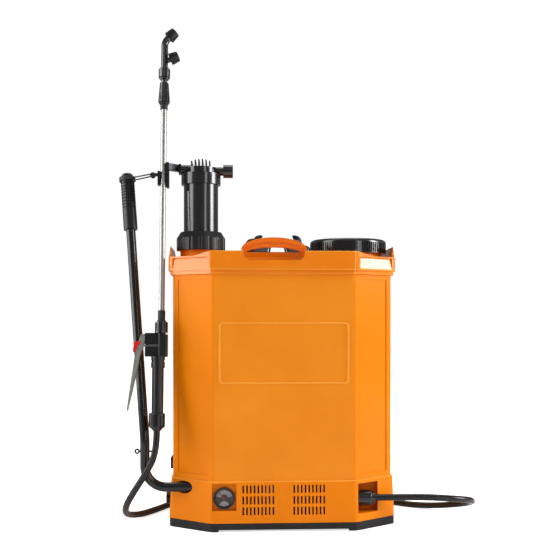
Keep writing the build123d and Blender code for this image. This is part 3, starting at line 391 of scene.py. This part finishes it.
nodeFinishes = {
    "orangeTank": ["tank_shell"],
    "orangeBase": ["base_housing"],
    "orangeRim": ["top_rim"],
    "orangeHandle": ["carry_handle"],
    "blackGloss": ["air_chamber", "filler_lid", "port_nut", "chamber_cap", "valve_nut", "nozzle_nut",
                   "nozzle_head", "hose_nut"],
    "blackSatin": ["pump_nut", "lance_clip", "valve_body", "lance_handle", "hose_tail_nut",
                   "crown_nozzle_cap", "branch_nozzle_cap", "outlet_fitting", "gauge_bezel", "speed_knob",
                   "diaphragm_pump"],
    "footPlastic": ["base_plate"],
    "redPlastic": ["trigger_lock"],
    "whitePlastic": ["strainer_basket", "pump_barrel", "suction_tube", "delivery_tube"],
    "batteryCase": ["battery"],
    "dialBlack": ["gauge_dial"],
    "gripRubber": ["lever_grip", "rubber_feet"],
    "bandRubber": ["stow_band"],
    "sealRubber": ["lid_gasket", "barrel_gasket", "chamber_seal", "lance_sleeve", "upper_sleeve",
                   "piston_cup"],
    "chrome": ["lance_tube"],
    "steel": ["handle_screws", "housing_screws", "battery_strap", "pump_motor", "trigger_pin",
              "plunger_rod", "valve_spindle"],
    "zincPlate": ["trigger", "rocker_crank", "shaft_bracket"],
    "brass": ["shaft_bushes"],
    "leverPaint": ["lever_arm", "lever_tube", "lever_pin"],
    "needlePaint": ["gauge_needle"],
    "clearLens": ["gauge_lens"],
}


def finishNodes():
    for finishName, names in nodeFinishes.items():
        for name in names:
            for materialSlot in nodes[name].material_slots:
                materialSlot.material = finishes[finishName]


finishNodes()
print("finishes made")


hose = {
    "radius": 0.0055,
    "length": 1.16,
    "route": [
        (0.154, -0.087, 0.0496), (0.196, -0.087, 0.0496), (0.246, -0.086, 0.049), (0.291, -0.087, 0.046),
        (0.324, -0.064, 0.039), (0.338, -0.026, 0.028), (0.3275, 0.013, 0.016), (0.288, 0.042, 0.0075),
        (0.248, 0.060, 0.0056), (0.213, 0.090, 0.0056), (0.180, 0.124, 0.0056), (0.124, 0.1345, 0.0056),
        (0.042, 0.130, 0.0056), (-0.045, 0.133, 0.0056), (-0.128, 0.131, 0.0056), (-0.172, 0.122, 0.0056),
        (-0.202, 0.090, 0.0056), (-0.222, 0.046, 0.0056), (-0.249, 0.002, 0.0056), (-0.268, -0.036, 0.014),
        (-0.266, -0.068, 0.034), (-0.250, -0.088, 0.062), (-0.229, -0.098, 0.094),
        (-0.2104, -0.1033, 0.130), (-0.2104, -0.0981, 0.1656),
    ],
}


def makeHose():
    curve = bpy.data.curves.new("sprayHose", "CURVE")
    curve.dimensions = "3D"
    spline = curve.splines.new("NURBS")
    spline.points.add(len(hose["route"]) - 1)
    for point, place in zip(spline.points, hose["route"]):
        point.co = (*place, 1)
    spline.order_u = 3
    spline.use_endpoint_u = True
    spline.resolution_u = 10
    curve.bevel_depth = hose["radius"]
    curve.bevel_resolution = 7
    curve.use_fill_caps = True
    piece = bpy.data.objects.new("sprayHose", curve)
    bpy.context.collection.objects.link(piece)
    curve.materials.append(finishes["hoseRubber"])
    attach(piece, "root")
    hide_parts("hose")


makeHose()
print("hose made")


def meshPiece(name, verts, faces, finishName):
    mesh = bpy.data.meshes.new(name)
    mesh.from_pydata(verts, [], faces)
    mesh.update()
    piece = bpy.data.objects.new(name, mesh)
    bpy.context.collection.objects.link(piece)
    mesh.materials.append(finishes[finishName])
    return piece


def declare(piece, body):
    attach(piece, body)
    return piece


def roundedBox(name, low, high, bevel):
    bpy.ops.mesh.primitive_cube_add(size=1, location=(Vector(low) + Vector(high)) / 2)
    box = bpy.context.active_object
    box.name = name
    box.dimensions = Vector(high) - Vector(low)
    applyPlace(box)
    bevelEdges(box, bevel)
    smooth(box, 35)
    box.data.materials.append(finishes["blackSatin"])
    return box


def flowing(stations, steps):
    # Catmull-Rom through the stations, each a point with its outward normal
    padded = [stations[0]] + stations + [stations[-1]]
    flow = []
    for a, b, c, d in zip(padded, padded[1:], padded[2:], padded[3:]):
        for step in range(steps):
            t = step / steps
            pair = []
            for k in (0, 1):
                p, q, r, w = (Vector(item[k]) for item in (a, b, c, d))
                pair.append(0.5 * (2 * q + (r - p) * t + (2 * p - 5 * q + 4 * r - w) * t * t
                                   + (3 * q - p - 3 * r + w) * t ** 3))
            flow.append((pair[0], pair[1].normalized()))
    flow.append((Vector(stations[-1][0]), Vector(stations[-1][1]).normalized()))
    return flow


# the strap's section: shares of its width and thickness, with a rounded selvedge
selvedge = [(-0.5, 0.0), (-0.485, 0.4), (-0.45, 0.5), (-0.15, 0.5), (0.15, 0.5), (0.45, 0.5), (0.485, 0.4),
            (0.5, 0.0), (0.485, -0.4), (0.45, -0.5), (0.15, -0.5), (-0.15, -0.5), (-0.45, -0.5),
            (-0.485, -0.4)]


def ribbon(name, stations, width, thickness):
    # flat woven strap; its UV map holds metres along and across it
    flow = flowing(stations, 8)
    verts, faces, along = [], [], [0.0]
    for index, (point, normal) in enumerate(flow):
        ahead = flow[min(index + 1, len(flow) - 1)][0]
        behind = flow[max(index - 1, 0)][0]
        side = normal.cross((ahead - behind).normalized()).normalized()
        if index:
            along.append(along[-1] + (point - flow[index - 1][0]).length)
        for across, up in selvedge:
            verts.append(point + side * across * width + normal * up * thickness)
    count = len(selvedge)
    for index in range(len(flow) - 1):
        for k in range(count):
            a, b = index * count + k, index * count + (k + 1) % count
            faces.append((a, b, b + count, a + count))
    faces.append(tuple(range(count)))
    faces.append(tuple(len(verts) - 1 - k for k in range(count)))
    strap = meshPiece(name, verts, faces, "webbing")
    weave = strap.data.uv_layers.new(name="weave")
    for loop in strap.data.loops:
        ringIndex, k = divmod(loop.vertex_index, count)
        weave.data[loop.index].uv = (along[ringIndex], selvedge[k][0] * width)
    activate(strap)
    bpy.ops.object.mode_set(mode="EDIT")
    bpy.ops.mesh.select_all(action="SELECT")
    bpy.ops.mesh.normals_make_consistent(inside=False)
    bpy.ops.object.mode_set(mode="OBJECT")
    smooth(strap, 60)
    return strap


stitch = {"length": 0.0026, "radius": 0.00035, "pitch": 0.0042, "sides": 6,
          "swell": ((-0.5, 0.35), (-0.3, 1.0), (0.3, 1.0), (0.5, 0.35))}


def stitchLine(a, b, outward):
    a, b = Vector(a), Vector(b)
    count = max(2, int((b - a).length / stitch["pitch"]))
    return [(a + (b - a) * ((k + 0.5) / count), b - a, outward) for k in range(count)]


def stitchRows(name, places):
    # short raised threads; places holds the middle, direction and outward side of each stitch
    sides = stitch["sides"]
    verts, faces = [], []
    for centre, way, outward in places:
        way = Vector(way).normalized()
        outward = Vector(outward).normalized()
        side = way.cross(outward).normalized()
        start = len(verts)
        for share, swell in stitch["swell"]:
            for turn in range(sides):
                angle = turn * 2 * math.pi / sides
                rim = (side * math.cos(angle) + outward * math.sin(angle)) * stitch["radius"]
                verts.append(Vector(centre) + way * share * stitch["length"] + rim * swell)
        bands = len(stitch["swell"]) - 1
        for band in range(bands):
            for turn in range(sides):
                a = start + band * sides + turn
                b = start + band * sides + (turn + 1) % sides
                faces.append((a, b, b + sides, a + sides))
        faces.append(tuple(start + sides - 1 - k for k in range(sides)))
        faces.append(tuple(start + bands * sides + k for k in range(sides)))
    rows = meshPiece(name, verts, faces, "thread")
    smooth(rows, 60)
    return rows


pad = {
    "halfWidth": 0.0222, "drop": 0.2945, "start": 0.003, "innerFace": 0.1206, "outerFace": 0.1264,
    "top": 0.5095, "aside": 0.032, "tilt": math.radians(13), "corner": 0.0075,
    "voxel": 0.004, "pressure": 4, "frames": 20, "swell": 0.0052,
    "swollenHalfWidth": 0.0246, "swollenInner": 0.0009, "swollenOuter": 0.0034,
    "seams": (0.034, 0.094, 0.154, 0.214, 0.266), "seamWidth": 0.0030,
    "edgeSeam": 0.0150, "edgeSeamWidth": 0.0022, "seamDepth": 0.0015,
    "head": 0.10, "droop": {-1: (0.18, 0.0), 1: (0.42, 0.0035)},
}
piping = {"radius": 0.0019, "proud": 0.0006, "top": 0.0045, "below": 0.002, "corner": 0.009}


def padMatrix(side):
    top = Matrix.Translation((side * pad["aside"], 0, pad["top"]))
    return top @ Matrix.Rotation(-side * pad["tilt"], 4, "Y")


def padPoint(side, x, y, z):
    return padMatrix(side) @ Vector((x, y, z))


def droopHead(piece, side):
    # the soft head of the pad hangs towards its outer corner
    slope, lower = pad["droop"][side]
    for vertex in piece.data.vertices:
        head = min(1.0, max(0.0, 1 + vertex.co.z / pad["head"]))
        vertex.co.z -= head * head * ((side * vertex.co.x + 0.024) * slope + lower)


def groove(distance, width):
    return math.exp(-(distance / width) ** 2)


def inflate(piece):
    # cloth pressure rounds the foam, then each point moves no further than the swell
    rest = [vertex.co.copy() for vertex in piece.data.vertices]
    cloth = piece.modifiers.new("cloth", "CLOTH")
    cloth.settings.use_pressure = True
    cloth.settings.uniform_pressure_force = pad["pressure"]
    cloth.settings.effector_weights.gravity = 0
    cloth.settings.quality = 6
    for frameNumber in range(1, pad["frames"] + 1):
        bpy.context.scene.frame_set(frameNumber)
    applyModifiers(piece)
    bpy.context.scene.frame_set(1)
    inner, outer = pad["innerFace"] - pad["swollenInner"], pad["outerFace"] + pad["swollenOuter"]
    widest = pad["swollenHalfWidth"]
    for vertex, start in zip(piece.data.vertices, rest):
        move = vertex.co - start
        if move.length > pad["swell"]:
            move *= pad["swell"] / move.length
        vertex.co = start + move
        vertex.co.y = min(max(vertex.co.y, inner), outer)
        vertex.co.x = max(-widest, min(widest, vertex.co.x))


def sewSeams(piece, middleY):
    for vertex in piece.data.vertices:
        sink = groove(abs(vertex.co.x) - pad["edgeSeam"], pad["edgeSeamWidth"])
        for seam in pad["seams"]:
            sink = max(sink, groove(-vertex.co.z - seam, pad["seamWidth"]))
        depth = pad["seamDepth"] * sink
        vertex.co.y += -depth if vertex.co.y > middleY else depth * 0.5


def makePad(side, name):
    # a foam pad swollen by cloth pressure, then sewn across and along
    middleY = (pad["innerFace"] + pad["outerFace"]) / 2
    bpy.ops.mesh.primitive_cube_add(size=1, location=(0, middleY, -pad["start"] - pad["drop"] / 2))
    piece = bpy.context.active_object
    piece.name = name
    piece.dimensions = (2 * pad["halfWidth"], pad["outerFace"] - pad["innerFace"], pad["drop"])
    applyPlace(piece)
    corner = piece.modifiers.new("corner", "BEVEL")
    corner.width = pad["corner"]
    corner.segments = 5
    corner.limit_method = "WEIGHT"
    weights = piece.data.attributes.new("bevel_weight_edge", "FLOAT", "EDGE")
    for edge in piece.data.edges:
        a, b = (piece.data.vertices[k].co for k in edge.vertices)
        if abs(a.y - b.y) > 0.001:
            weights.data[edge.index].value = 1.0
    remesh = piece.modifiers.new("remesh", "REMESH")
    remesh.mode = "VOXEL"
    remesh.voxel_size = pad["voxel"]
    applyModifiers(piece)
    inflate(piece)
    subdivide = piece.modifiers.new("subdivide", "SUBSURF")
    subdivide.levels = 1
    subdivide.render_levels = 1
    applyModifiers(piece)
    droopHead(piece, side)
    sewSeams(piece, middleY)
    piece.data.materials.clear()
    piece.data.materials.append(finishes["padFabric"])
    smooth(piece, 80)
    piece.data.transform(padMatrix(side))
    return piece


def makePiping(side, name):
    # bound edge: a cord sewn into the seam all round the pad
    corner = piping["corner"]
    across = pad["halfWidth"] + piping["proud"] - corner
    top, foot = -piping["top"] - corner, -pad["drop"] - piping["below"] + corner
    path = []
    for x, z, start in ((across, top, 0), (-across, top, 90), (-across, foot, 180), (across, foot, 270)):
        for step in range(5):
            angle = math.radians(start + step * 22.5)
            path.append((x + corner * math.cos(angle), z + corner * math.sin(angle)))
    curve = bpy.data.curves.new(name, "CURVE")
    curve.dimensions = "3D"
    spline = curve.splines.new("POLY")
    spline.points.add(len(path) - 1)
    for point, (x, z) in zip(spline.points, path):
        point.co = (x, (pad["innerFace"] + pad["outerFace"]) / 2, z, 1)
    spline.use_cyclic_u = True
    curve.bevel_depth = piping["radius"]
    curve.bevel_resolution = 3
    piece = bpy.data.objects.new(name, curve)
    bpy.context.collection.objects.link(piece)
    activate(piece)
    bpy.ops.object.convert(target="MESH")
    piece = bpy.context.active_object
    piece.data.materials.append(finishes["bindingTape"])
    droopHead(piece, side)
    piece.data.transform(padMatrix(side))
    smooth(piece, 60)
    return piece


lock = {
    "drop": 0.3085, "y": 0.1243, "bevel": 0.0009,
    "bars": (((-0.0165, -0.0021, -0.0115), (-0.0132, 0.0021, 0.0115)),
             ((0.0132, -0.0021, -0.0115), (0.0165, 0.0021, 0.0115)),
             ((-0.0140, -0.0019, 0.0082), (0.0140, 0.0019, 0.0115)),
             ((-0.0140, -0.0004, 0.0000), (0.0140, 0.0028, 0.0032)),
             ((-0.0140, -0.0019, -0.0115), (0.0140, 0.0023, -0.0078))),
}
strap = {
    "width": 0.0245, "thickness": 0.0016, "proud": 0.0038,
    "lowerWidth": 0.0240, "lowerThickness": 0.0015,
    "down": (0.290, 0.25, 0.19, 0.13, 0.07, 0.03, 0.012),  # distances below the pad's top
    # over and round the bar: y and z, then the outward normal's y and z
    "overBar": ((0.1285, 0.4985, 0.75, 0.66), (0.1175, 0.5010, 0.1, 1), (0.1020, 0.4925, -0.55, 0.85),
                (0.0850, 0.4750, -0.85, 0.5), (0.0795, 0.4595, -1, 0.05), (0.0855, 0.4537, 0, -1),
                (0.0915, 0.4615, 1, 0), (0.0985, 0.4790, 0.75, -0.6), (0.1110, 0.4905, 0.5, -0.85),
                (0.1185, 0.4880, -0.9, -0.2)),
    # from the lock down to the base hook: x, y and z, then the outward normal's x and y
    "toHook": ((0.1185, 0.1155, 0.1905, 0.10, 1), (0.1350, 0.1096, 0.1740, 0.05, 1),
               (0.1480, 0.1094, 0.1600, 0.20, 0.98), (0.1600, 0.1028, 0.1490, 0.7, 0.72),
               (0.1740, 0.0890, 0.1375, 0.7, 0.72), (0.1868, 0.0735, 0.1275, 0.92, 0.4),
               (0.1882, 0.0600, 0.1190, 1, 0.03), (0.1881, 0.0440, 0.1080, 1, 0),
               (0.1881, 0.0320, 0.0985, 1, 0)),
    "sewnHalfWidth": 0.0105, "sewnTop": (-0.028, -0.046), "sewnFoot": (-0.262, -0.284),
    "sewnRows": (-0.052, -0.258),
}


def makeFaceStrap(side, word):
    # webbing up the face of the pad and round the bar
    outward = Vector((0, 1, 0))
    face = pad["outerFace"] + strap["proud"]
    stations = [(padPoint(side, 0, face, -z), outward) for z in strap["down"]]
    for y, z, normalY, normalZ in strap["overBar"]:
        stations.append(((side * pad["aside"], y, z), (0, normalY, normalZ)))
    stations.append((padPoint(side, 0, 0.1180, -0.040), (0, -1, 0)))
    return ribbon("padWebbing" + word, stations, strap["width"], strap["thickness"])


def makeHookStrap(side, word):
    # webbing from the lock at the pad's foot to the base hook
    outward = Vector((0, 1, 0))
    lockAt = padPoint(side, 0, lock["y"], -lock["drop"])
    down = (padPoint(side, 0, 0, -1) - padPoint(side, 0, 0, 0)).normalized()
    stations = [(lockAt - down * 0.012 + outward * 0.0020, outward),
                (lockAt + down * 0.004 + outward * 0.0005, outward)]
    for x, y, z, normalX, normalY in strap["toHook"]:
        stations.append(((side * x, y, z), (side * normalX, normalY, 0)))
    return ribbon("hookWebbing" + word, stations, strap["lowerWidth"], strap["lowerThickness"])


def makeStrapStitches(side, word):
    # a crossed box near each end of the pad, joined by two long rows
    edge = strap["sewnHalfWidth"]
    top, foot = strap["sewnTop"]
    rows = [((-edge, top), (edge, top)), ((-edge, foot), (edge, foot)), ((-edge, top), (-edge, foot)),
            ((edge, top), (edge, foot)), ((-edge, top), (edge, foot)), ((edge, top), (-edge, foot))]
    top, foot = strap["sewnFoot"]
    rows += [((-edge, top), (edge, top)), ((-edge, foot), (edge, foot)), ((-edge, top), (edge, foot)),
             ((edge, top), (-edge, foot))]
    top, foot = strap["sewnRows"]
    rows += [((-edge, top), (-edge, foot)), ((edge, top), (edge, foot))]
    y = pad["outerFace"] + strap["proud"] + strap["thickness"] / 2
    places = []
    for a, b in rows:
        places += stitchLine(padPoint(side, a[0], y, a[1]), padPoint(side, b[0], y, b[1]), (0, 1, 0))
    return stitchRows("strapStitches" + word, places)


def makeLock(side, word):
    # ladder lock at the foot of the pad
    bars = [roundedBox("lockBar", low, high, lock["bevel"]) for low, high in lock["bars"]]
    piece = joinPieces("ladderLock" + word, bars)
    centre = padPoint(side, 0, lock["y"], -lock["drop"])
    piece.data.transform(Matrix.Translation(centre) @ Matrix.Rotation(-side * pad["tilt"], 4, "Y"))
    return piece


strapBar = {"radius": 0.0038, "length": 0.137, "y": 0.0855, "z": 0.4595, "bevel": 0.0008}
barPosts = {"places": (-0.066, 0, 0.066), "halfWidth": 0.0042, "y": (0.0787, 0.0923), "z": (0.4476, 0.4635),
            "bevel": 0.0016}
strapHook = {
    "bevel": 0.0008,
    "bars": (((0.1868, 0.0150, 0.0842), (0.1955, 0.0450, 0.0878)),
             ((0.1868, 0.0150, 0.0842), (0.1955, 0.0215, 0.0915)),
             ((0.1868, 0.0385, 0.0842), (0.1955, 0.0450, 0.0915)),
             ((0.1892, 0.0150, 0.0860), (0.1955, 0.0220, 0.1038)),
             ((0.1892, 0.0380, 0.0860), (0.1955, 0.0450, 0.1038)),
             ((0.1892, 0.0150, 0.0942), (0.1955, 0.0450, 0.1038))),
}


def makeStrapBar():
    # steel bar across the back of the tank top
    place = (0, strapBar["y"], strapBar["z"])
    bpy.ops.mesh.primitive_cylinder_add(vertices=32, radius=strapBar["radius"], depth=strapBar["length"],
                                        location=place, rotation=(0, math.pi / 2, 0))
    bar = bpy.context.active_object
    bar.name = "strapBar"
    applyPlace(bar)
    bevelEdges(bar, strapBar["bevel"])
    smooth(bar, 40)
    bar.data.materials.append(finishes["steel"])
    return bar


def makeBarPosts():
    front, back = barPosts["y"]
    foot, top = barPosts["z"]
    half = barPosts["halfWidth"]
    posts = [roundedBox("post", (x - half, front, foot), (x + half, back, top), barPosts["bevel"])
             for x in barPosts["places"]]
    return joinPieces("strapBarPosts", posts)


def makeStrapHooks():
    # a loop on each side of the base for the lower webbing
    bars = []
    for side in (-1, 1):
        for low, high in strapHook["bars"]:
            left, right = sorted((side * low[0], side * high[0]))
            bars.append(roundedBox("hookPiece", (left, *low[1:]), (right, *high[1:]), strapHook["bevel"]))
    return joinPieces("strapHooks", bars)


def makeStraps():
    bar, posts, hooks = makeStrapBar(), makeBarPosts(), makeStrapHooks()
    declare(bar, "root")
    declare(posts, "root")
    declare(hooks, "root")
    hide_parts("strap_webbing")
    for side, word in ((-1, "Left"), (1, "Right")):
        cushion = declare(makePad(side, "shoulderPad" + word), "root")
        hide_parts("shoulder_pads")
        declare(makePiping(side, "padPiping" + word), "root")
        declare(makeLock(side, word), "root")
        declare(makeFaceStrap(side, word), "root")
        declare(makeHookStrap(side, word), "root")
        declare(makeStrapStitches(side, word), "root")


makeStraps()
print("straps made")


dial = {
    "x": -0.099, "z": 0.055, "face": -0.10705, "print": 0.00012, "printLift": 0.0001, "inkLift": 0.00025,
    "sweep": (12, 168), "scale": (0.0066, 0.0136), "shield": 0.0082, "shieldDrop": 0.0132,
    "ticks": 21, "firstTick": 18, "tickStep": 7.2, "tickHalfAngle": 0.9, "tickOuter": 0.0132,
    "longTick": 0.0104, "shortTick": 0.0118, "arc": (0.0093, 0.0096), "arcSweep": (18, 162),
}


def dialSector(name, radii, sweep, lift, finishName, drop=0.0, segments=40):
    # flat printed shape on the dial, swept between two angles about its own centre
    verts, faces = [], []
    start, end = sweep
    for k in range(segments + 1):
        angle = math.radians(start + (end - start) * k / segments)
        for radius in radii:
            verts.append((dial["x"] + radius * math.cos(angle), dial["face"] - lift,
                          dial["z"] - drop + radius * math.sin(angle)))
    for k in range(segments):
        faces.append((2 * k, 2 * k + 1, 2 * k + 3, 2 * k + 2))
    shape = meshPiece(name, verts, faces, finishName)
    activate(shape)
    bpy.ops.object.mode_set(mode="EDIT")
    bpy.ops.mesh.select_all(action="SELECT")
    bpy.ops.mesh.remove_doubles(threshold=0.00002)
    bpy.ops.object.mode_set(mode="OBJECT")
    solid = shape.modifiers.new("print", "SOLIDIFY")
    solid.thickness = dial["print"]
    solid.offset = 0
    applyModifiers(shape)
    return shape


def makeDial():
    scale = dialSector("dialScale", dial["scale"], dial["sweep"], dial["printLift"], "dialSilver")
    shield = dialSector("dialShield", (0.0, dial["shield"]), dial["sweep"], dial["printLift"], "dialSilver",
                        drop=dial["shieldDrop"])
    ticks = []
    for k in range(dial["ticks"]):
        angle = dial["firstTick"] + k * dial["tickStep"]
        inner = dial["longTick"] if k % 5 == 0 else dial["shortTick"]
        sweep = (angle - dial["tickHalfAngle"], angle + dial["tickHalfAngle"])
        ticks.append(dialSector("tick", (inner, dial["tickOuter"]), sweep, dial["inkLift"], "dialInk",
                                segments=1))
    ticks = joinPieces("dialTicks", ticks)
    arc = dialSector("dialArc", dial["arc"], dial["arcSweep"], dial["inkLift"], "dialInk")
    for piece in (scale, shield, ticks, arc):
        declare(piece, "root")


makeDial()
print("dial printed")
